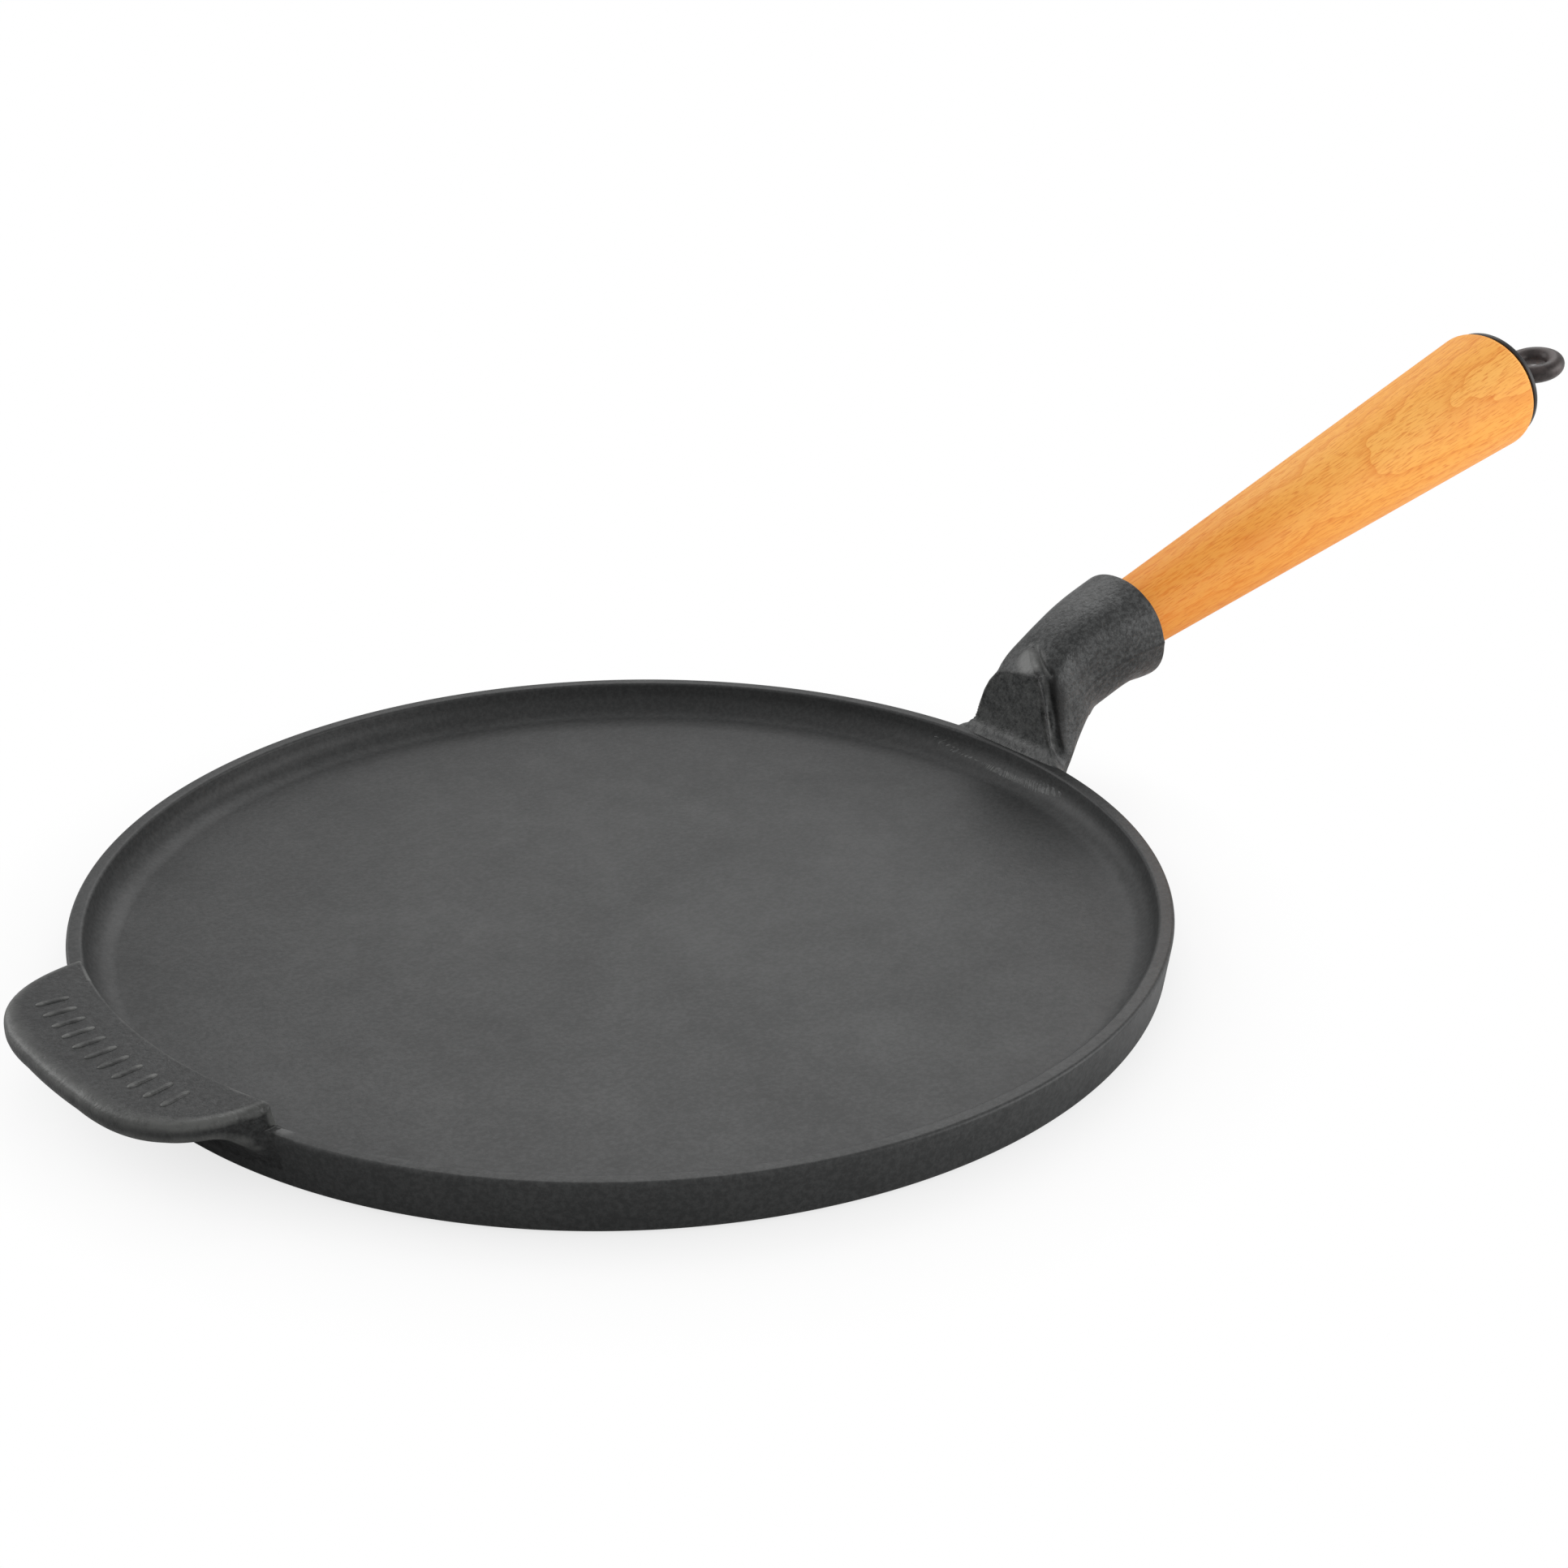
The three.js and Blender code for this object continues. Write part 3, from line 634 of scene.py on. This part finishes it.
def grip_grid(rows, columns):
    """Rays for the grip from an arc inside it: fans of rings at the arc's two ends, and rings square
    to the arc between them."""
    fan = 0.24
    half_arc = np.radians(13.5)
    row = np.linspace(0, 1, rows)
    tilt = np.pi / 2 * (np.maximum(row - 1 + fan, 0) - np.maximum(fan - row, 0)) / fan
    around = np.pi + GRIP_TURN + half_arc * np.clip((row - 0.5) / (0.5 - fan), -1, 1)
    tilt, around = tilt[:, None, None], around[:, None]
    angle = np.linspace(0, 2 * np.pi, columns, endpoint=False)[None, :, None]
    outward = np.stack([np.cos(around), np.sin(around), 0 * around], 2)
    sideways = np.stack([-np.sin(around), np.cos(around), 0 * around], 2)
    around_arc = np.cos(angle) * outward + np.sin(angle) * np.array([0, 0, 1])
    ways = np.sin(tilt) * sideways + np.cos(tilt) * around_arc
    origins = outward * (PAN_RADIUS + 0.4) + np.array([0, 0, 13.4]) + 0 * ways
    skin = skin_along_rays(grip_distance, origins.reshape(-1, 3), ways.reshape(-1, 3), 60.0)
    return skin.reshape(rows, columns, 3)


grip_iron = cast_iron("sand cast iron of the grip", 0.14, (0.010, 0.0105, 0.0105), (0.030, 0.031, 0.031),
                      (0.100, 0.102, 0.098), (0.05, 0.3), (-0.6, -0.15))
GRIP_ROWS = 260
GRIP_SIDES = 200
grip = skin_piece("cast_grip", [grip_grid(GRIP_ROWS, GRIP_SIDES)], grip_iron)
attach(grip, "pan")
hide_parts("pan_casting")

RIB_COUNT = 11
RIB_HALF_LENGTH = 3.3
RIB_HALF_WIDTH = 0.75
RIB_HEIGHT = 0.32
RIB_ARC = np.radians(22.0)
RIB_REACH = PAN_RADIUS + 6.4


def rib_grids():
    """Each rib is a half-buried bar: a superellipse in plan shrinking by a quarter circle in height."""
    rise = np.linspace(-np.pi / 2, np.pi / 2, 9)[:, None]
    angle = np.linspace(0, 2 * np.pi, 24, endpoint=False)[None]
    along = np.sign(np.cos(angle)) * np.abs(np.cos(angle)) ** 0.5 * np.cos(rise) ** 0.6 * RIB_HALF_LENGTH
    across = np.sign(np.sin(angle)) * np.abs(np.sin(angle)) ** 0.8 * np.cos(rise) ** 0.6 * RIB_HALF_WIDTH
    height = GRIP_TOP + RIB_HEIGHT * np.sin(rise) + 0 * angle
    grids = []
    for turn in np.linspace(-RIB_ARC / 2, RIB_ARC / 2, RIB_COUNT) + np.pi + GRIP_TURN:
        reach = RIB_REACH + along
        grids.append(np.stack([reach * np.cos(turn) - across * np.sin(turn),
                               reach * np.sin(turn) + across * np.cos(turn), height], 2))
    return grids


ribs = skin_piece("grip_ribs", rib_grids(), grip_iron)
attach(ribs, "pan")

# Wood handle. One piece of beech, turned to a cone that thickens to the butt, bored through for the
# rod, oiled. Its tapered spigot fills the casting's socket.
HANDLE_LENGTH = 142.2
HANDLE_MOUTH_RADIUS = 8.8
HANDLE_BUTT_RADIUS = 16.38
BUTT_ROUND = 2.3
SPIGOT_LENGTH = 23.4
SPIGOT_TIP_RADIUS = 7.1
BORE_RADIUS = 3.25


def beech_material():
    """Turned beech: growth rings as shells round a far pith that the cone cuts into long loops, flecks
    along the grain, fine pores, a darker tone near the mouth, a darker tone underneath that is partly the
    wood's own and partly painted shade, and oil that leaves a satin skin."""
    material = bpy.data.materials.new("oiled beech")
    tree = tree_of(material)
    shader = tree.nodes["Principled BSDF"]
    place = add(tree, "ShaderNodeMapping", vector_type="POINT")
    tree.links.new(add(tree, "ShaderNodeTexCoord").outputs["Object"], place.inputs["Vector"])
    place.inputs["Rotation"].default_value = (0, float(HANDLE_ANGLE), 0)

    def stretched(along, across, shift=0.0):
        """The place, with so many patches to the metre along the grain and across it."""
        node = add(tree, "ShaderNodeMapping", vector_type="POINT")
        node.inputs["Scale"].default_value = (along, across, across)
        node.inputs["Location"].default_value = (shift, shift * 2.3, shift * 1.7)
        tree.links.new(place.outputs["Vector"], node.inputs["Vector"])
        return node.outputs["Vector"]

    drift = cloud(tree, stretched(22, 45), 1.0, 3, 0.55)
    split = add(tree, "ShaderNodeSeparateXYZ")
    tree.links.new(place.outputs["Vector"], split.inputs["Vector"])
    x, y, z = split.outputs
    side = worked(tree, "ADD", worked(tree, "ADD", y, -0.030), worked(tree, "MULTIPLY", x, 0.02))
    lift = worked(tree, "ADD", z, 0.026)
    rings = weighted(tree, (slant_of(tree, side, lift), 400), (drift, 3.0))
    late = worked(tree, "POWER", worked(tree, "FRACT", rings), 5.0)
    fleck = ranged(tree, cloud(tree, stretched(210, 3800), 1.0, 2, 0.5), 0.55, 0.66, 0, 1)
    long_fleck = ranged(tree, cloud(tree, stretched(95, 2300, 3.1), 1.0, 3, 0.6), 0.53, 0.63, 0, 1)
    pore = cloud(tree, stretched(700, 5200, 1.4), 1.0, 2, 0.5)
    broad = ranged(tree, cloud(tree, stretched(10, 55, 5.2), 1.0, 3, 0.5), 0.32, 0.68, 0, 1)
    base = mixed(tree, broad, (0.94, 0.425, 0.074), (0.97, 0.49, 0.118))
    # Darker underneath: partly the wood's own tone, partly painted shade.
    base = mixed(tree, ranged(tree, z, -0.019, 0.010, 0.75, 0.0), base, (0.80, 0.31, 0.042))
    to_mouth = ranged(tree, x, 0.150, 0.235, 0.6, 0.0)
    base = mixed(tree, to_mouth, base, (0.74, 0.25, 0.032))
    base = mixed(tree, worked(tree, "MULTIPLY", late, 0.6), base, (0.76, 0.23, 0.026))
    long_fleck = worked(tree, "MULTIPLY", long_fleck, ranged(tree, x, 0.150, 0.235, 0.85, 0.45))
    base = mixed(tree, long_fleck, base, (0.76, 0.22, 0.018))
    base = mixed(tree, worked(tree, "MULTIPLY", fleck, 0.6), base, (0.66, 0.15, 0.010))
    tree.links.new(base, shader.inputs["Base Color"])
    tree.links.new(ranged(tree, pore, 0.3, 0.7, 0.52, 0.66), shader.inputs["Roughness"])
    shader.inputs["Specular IOR Level"].default_value = 0.25
    bumped(tree, worked(tree, "SUBTRACT", pore, worked(tree, "MULTIPLY", fleck, 0.6)), 0.05, 0.35)
    return material


wood_profile = np.concatenate([
    [[BORE_RADIUS, -SPIGOT_LENGTH]],
    rounded_path([(BORE_RADIUS, -SPIGOT_LENGTH, 0), (SPIGOT_TIP_RADIUS, -SPIGOT_LENGTH, 0.8),
                  (HANDLE_MOUTH_RADIUS, 0, 0), (HANDLE_BUTT_RADIUS, HANDLE_LENGTH, BUTT_ROUND),
                  (BORE_RADIUS, HANDLE_LENGTH, 0)], 8)[1:],
    [[BORE_RADIUS, -SPIGOT_LENGTH]]])
HANDLE_SIDES = 192
wood_grid = on_handle(filled_in(wood_profile, 3.0), HANDLE_SIDES)
wood = skin_piece("beech_handle", [wood_grid], beech_material())
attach(wood, "pan")
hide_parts("wood_handle")

# End cap. A pressed steel washer, domed and blackened, that spreads the rod's pull over the butt.
CAP_RADIUS = 15.3
CAP_BACK = HANDLE_LENGTH + 0.3
CAP_EDGE = 1.4
CAP_RISE = 2.0
CAP_FLAT = 5.4
CAP_HOLE = 3.4
CAP_FRONT = CAP_BACK + CAP_EDGE + CAP_RISE
CAP_SIDES = 128


def blackened_steel(name, colour, tint, roughness):
    """Forged or pressed steel with a black scale: cloudy tone, fine scale bump, edges rubbed paler."""
    material = bpy.data.materials.new(name)
    tree = tree_of(material)
    shader = tree.nodes["Principled BSDF"]
    place = add(tree, "ShaderNodeTexCoord").outputs["Object"]
    clouded = ranged(tree, cloud(tree, place, 240, 4, 0.6), 0.35, 0.65, 0, 1)
    rubbed = worked(tree, "MULTIPLY", ranged(tree, marked(tree, "crest"), 0.35, 1.0, 0, 0.6),
                    ranged(tree, cloud(tree, place, 500, 3, 0.6), 0.4, 0.6, 0, 1))
    tree.links.new(mixed(tree, rubbed, mixed(tree, clouded, colour, tint), (0.14, 0.13, 0.125)),
                   shader.inputs["Base Color"])
    tree.links.new(ranged(tree, clouded, 0, 1, roughness, roughness + 0.12), shader.inputs["Roughness"])
    shader.inputs["Metallic"].default_value = 0.35
    bumped(tree, cloud(tree, place, 900, 4, 0.6), 0.05)
    return material


cap_profile = rounded_path([
    (CAP_HOLE, CAP_BACK, 0), (CAP_RADIUS, CAP_BACK, 0.35), (CAP_RADIUS, CAP_BACK + CAP_EDGE, 0.6),
    (CAP_FLAT, CAP_FRONT, 7.0), (CAP_HOLE, CAP_FRONT, 0), (CAP_HOLE, CAP_BACK, 0)], 8)
cap = skin_piece("steel_cap", [on_handle(filled_in(cap_profile, 1.5), CAP_SIDES)],
                 blackened_steel("blackened cap steel", (0.016, 0.016, 0.017), (0.035, 0.034, 0.034), 0.38))
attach(cap, "cap")
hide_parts("end_cap")

# Eye rod. A steel rod with a thread that screws into the casting, a collar that bears on the cap, and
# a forged ring beyond it to hang the pan by.
ROD_RADIUS = 3.0
THREAD_LENGTH = 8.0
THREAD_PITCH = 1.0
THREAD_DEPTH = 0.3
COLLAR_SEAT = CAP_FRONT + 0.3
COLLAR_RADIUS = 5.2
COLLAR_LENGTH = 1.6
EYE_CENTRE = CAP_BACK + 17.55
EYE_RING = 5.7
EYE_BAR = 2.45
EYE_SETBACK = 2.2
EYE_DROP = 0.4
SHANK_RADIUS = 2.8
ROD_SIDES = 48

rod_material = blackened_steel("forged eye steel", (0.022, 0.017, 0.016), (0.075, 0.058, 0.056), 0.36)
rod_start = -SOCKET_DEPTH - THREAD_LENGTH
thread_reach = np.linspace(0, THREAD_LENGTH, 129)[:, None]
thread_angle = np.linspace(0, 2 * np.pi, ROD_SIDES, endpoint=False)[None]
groove = 0.5 - 0.5 * np.cos(2 * np.pi * thread_reach / THREAD_PITCH - thread_angle)
run_out = np.clip((THREAD_LENGTH - thread_reach) / THREAD_PITCH, 0, 1)
thread_radius = (ROD_RADIUS - THREAD_DEPTH * groove * run_out) * np.clip(0.72 + thread_reach / 1.2, 0, 1)
thread_radius = np.concatenate([0 * thread_radius[:1], thread_radius])
thread_reach = np.concatenate([thread_reach[:1], thread_reach]) + rod_start
rod_thread = from_handle(thread_reach, thread_radius * np.sin(thread_angle),
                         thread_radius * np.cos(thread_angle))
rod_plain = on_handle(filled_in(rounded_path([
    (ROD_RADIUS, rod_start + THREAD_LENGTH, 0), (ROD_RADIUS, COLLAR_SEAT, 0),
    (COLLAR_RADIUS, COLLAR_SEAT, 0.3), (COLLAR_RADIUS, COLLAR_SEAT + COLLAR_LENGTH, 0.6),
    (SHANK_RADIUS, COLLAR_SEAT + COLLAR_LENGTH, 0.8), (SHANK_RADIUS, EYE_CENTRE - EYE_RING, 0),
    (0, EYE_CENTRE - EYE_RING, 0)], 5), 6.0), ROD_SIDES)
rod = skin_piece("eye_rod_bar", [np.concatenate([rod_thread, rod_plain])], rod_material)
ring_turn = np.linspace(0, 2 * np.pi, 96, endpoint=False)[None]
ring_round = np.linspace(0, 2 * np.pi, 33)[:, None]
ring_radius = EYE_RING + EYE_BAR * np.cos(ring_round)
ring_grid = from_handle(EYE_CENTRE + ring_radius * np.cos(ring_turn),
                        ring_radius * np.sin(ring_turn) - EYE_SETBACK,
                        EYE_BAR * np.sin(ring_round) - EYE_DROP)
ring = skin_piece("eye_rod_ring", [ring_grid], rod_material)
for part in (rod, ring):
    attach(part, "rod")
    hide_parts("eye_rod")

# Studio. A plain white floor that keeps the pan's soft shadow, three soft lamps behind and beside it, a
# white surround, and the camera at the photograph's angle.
FLOOR_REACH = 6.0
FLOOR_DROP = 0.0002
floor_mesh = bpy.data.meshes.new("floor")
floor_corners = [(x * FLOOR_REACH, y * FLOOR_REACH, 0) for x, y in ((-1, -1), (1, -1), (1, 1), (-1, 1))]
floor_mesh.from_pydata(floor_corners, [], [(0, 1, 2, 3)])
floor = bpy.data.objects.new("floor", floor_mesh)
floor.location.z = -FLOOR_DROP
bpy.context.scene.collection.objects.link(floor)
paper = bpy.data.materials.new("white paper")
tree = tree_of(paper)
shader = tree.nodes["Principled BSDF"]
shader.inputs["Roughness"].default_value = 0.9
shader.inputs["Specular IOR Level"].default_value = 0.0
glow = add(tree, "ShaderNodeEmission", Strength=1.0)
seen = add(tree, "ShaderNodeLightPath").outputs["Is Camera Ray"]
split = add(tree, "ShaderNodeSeparateXYZ")
tree.links.new(add(tree, "ShaderNodeTexCoord").outputs["Object"], split.inputs["Vector"])
to_right = weighted(tree, (split.outputs[0], 0.77), (split.outputs[1], -0.64))
lit = mixed(tree, ranged(tree, to_right, -0.1, 0.22, 0, 1), (0.50, 0.50, 0.50), (1.0, 1.0, 1.0))
tree.links.new(mixed(tree, seen, lit, (0.93, 0.93, 0.93)), shader.inputs["Base Color"])
from_pan = slant_of(tree, split.outputs[0], split.outputs[1])
fade = worked(tree, "MULTIPLY", seen, ranged(tree, from_pan, 0.100, 0.150, 0.68, 1.0))
blend = add(tree, "ShaderNodeMixShader")
tree.links.new(fade, blend.inputs[0])
tree.links.new(shader.outputs[0], blend.inputs[1])
tree.links.new(glow.outputs[0], blend.inputs[2])
tree.links.new(blend.outputs[0], tree.nodes["Material Output"].inputs["Surface"])
floor_mesh.materials.append(paper)

world = bpy.data.worlds.new("white room")
bpy.context.scene.world = world
world.use_nodes = True
tree = world.node_tree
room = tree.nodes["Background"]
room.inputs["Color"].default_value = (1, 1, 1, 1)
rays = add(tree, "ShaderNodeLightPath").outputs
straight = worked(tree, "MAXIMUM", rays["Is Camera Ray"], rays["Is Transmission Ray"])
tree.links.new(worked(tree, "MAXIMUM", straight, 0.60), room.inputs["Strength"])


def soft_lamp(name, width, height, power, place, aim):
    """An area lamp at a place, its back axis turned away from what it aims at."""
    lamp = bpy.data.lights.new(name, "AREA")
    lamp.shape = "RECTANGLE"
    lamp.size, lamp.size_y, lamp.energy = width, height, power
    back = np.array(place, float) - np.array(aim, float)
    back /= np.linalg.norm(back)
    side = np.cross([0.0, 0.0, 1.0] if abs(back[2]) < 0.99 else [0.0, 1.0, 0.0], back)
    side /= np.linalg.norm(side)
    up = np.cross(back, side)
    holder = bpy.data.objects.new(name, lamp)
    turn = Matrix(np.stack([side, up, back], 1).tolist()).to_4x4()
    holder.matrix_world = Matrix.Translation(place) @ turn
    bpy.context.scene.collection.objects.link(holder)


soft_lamp("behind", 0.9, 0.8, 4.0, (0.66, 0.62, 0.86), (0.06, 0.0, 0.01))
soft_lamp("right side", 1.2, 0.7, 8.2, (0.95, -0.90, 0.40), (0.16, -0.05, 0.01))
soft_lamp("left behind", 0.8, 0.8, 4.6, (-0.45, 0.95, 0.6), (0.10, 0.0, 0.01))

camera_data = bpy.data.cameras.new("camera")
camera_data.sensor_width = 36.0
camera_data.lens = 58.58
camera = bpy.data.objects.new("camera", camera_data)
right = (0.768493, -0.639846, 0.004057)
up = (0.261314, 0.319628, 0.910798)
forward = (0.584067, 0.698881, -0.412832)
view = Matrix([[right[i], up[i], -forward[i]] for i in range(3)]).to_4x4()
camera.matrix_world = Matrix.Translation((-0.28503596, -0.39303918, 0.25382137)) @ view
bpy.context.scene.collection.objects.link(camera)
bpy.context.scene.camera = camera
bpy.context.scene.view_settings.view_transform = "Standard"
